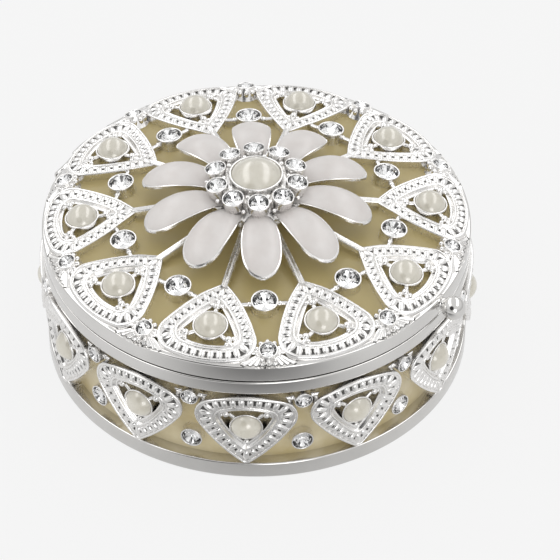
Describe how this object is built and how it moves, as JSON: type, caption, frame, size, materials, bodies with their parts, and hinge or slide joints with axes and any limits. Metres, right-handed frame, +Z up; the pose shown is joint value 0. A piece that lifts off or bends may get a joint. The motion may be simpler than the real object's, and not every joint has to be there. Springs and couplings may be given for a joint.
{
  "type": "pill box",
  "caption": "Round silver-plated pill box with a hinged domed lid, beaded openwork frames set with pearls and clear stones, and an enamel flower on top.",
  "frame": {"origin": "centre of the flat rest face under the foot ring", "axes": "+Z up through the flower, -Y towards the thumb ball at the front, +Y towards the hinge"},
  "size_m": [0.0578, 0.0601, 0.0287],
  "materials": {
    "polished_silver": "mirror-polished silver plate",
    "cast_silver": "bright cast silver plate with rows of beads",
    "gold_lacquer": "glossy olive-gold lacquer",
    "pearl": "cream imitation pearl with a soft lustre",
    "white_enamel": "pearly white satin enamel",
    "crystal": "clear faceted crystal with a silvered back",
    "steel_pin": "plain steel"
  },
  "bodies": {
    "base": {"foot_ring": "polished_silver", "bottom_plate": "polished_silver", "body_liner": "gold_lacquer", "base_rim": "polished_silver", "body_filigree": "cast_silver", "lower_stone_cups": "cast_silver", "body_pearls": "pearl", "body_upper_stones": "crystal", "body_lower_stones": "crystal", "base_hinge_leaf": "polished_silver", "hinge_pin": "steel_pin", "catch_bead": "steel_pin"},
    "lid": {"lid_rim": "polished_silver", "lid_liner": "gold_lacquer", "lid_filigree": "cast_silver", "lid_pearls": "pearl", "lid_large_stones": "crystal", "lid_rim_stones": "crystal", "petal_plate": "polished_silver", "petal_enamel": "white_enamel", "flower_crown": "cast_silver", "crown_stones": "crystal", "centre_pearl": "pearl", "flower_rivet": "steel_pin", "lid_hinge_leaf": "polished_silver", "thumb_ball": "polished_silver"}
  },
  "joints": [
    {"name": "lid_hinge", "type": "hinge", "parent": "base", "child": "lid", "pos_m": [0, 0.02825, 0.0168], "axis": [-1, 0, 0], "range_deg": [0, 100]}
  ]
}
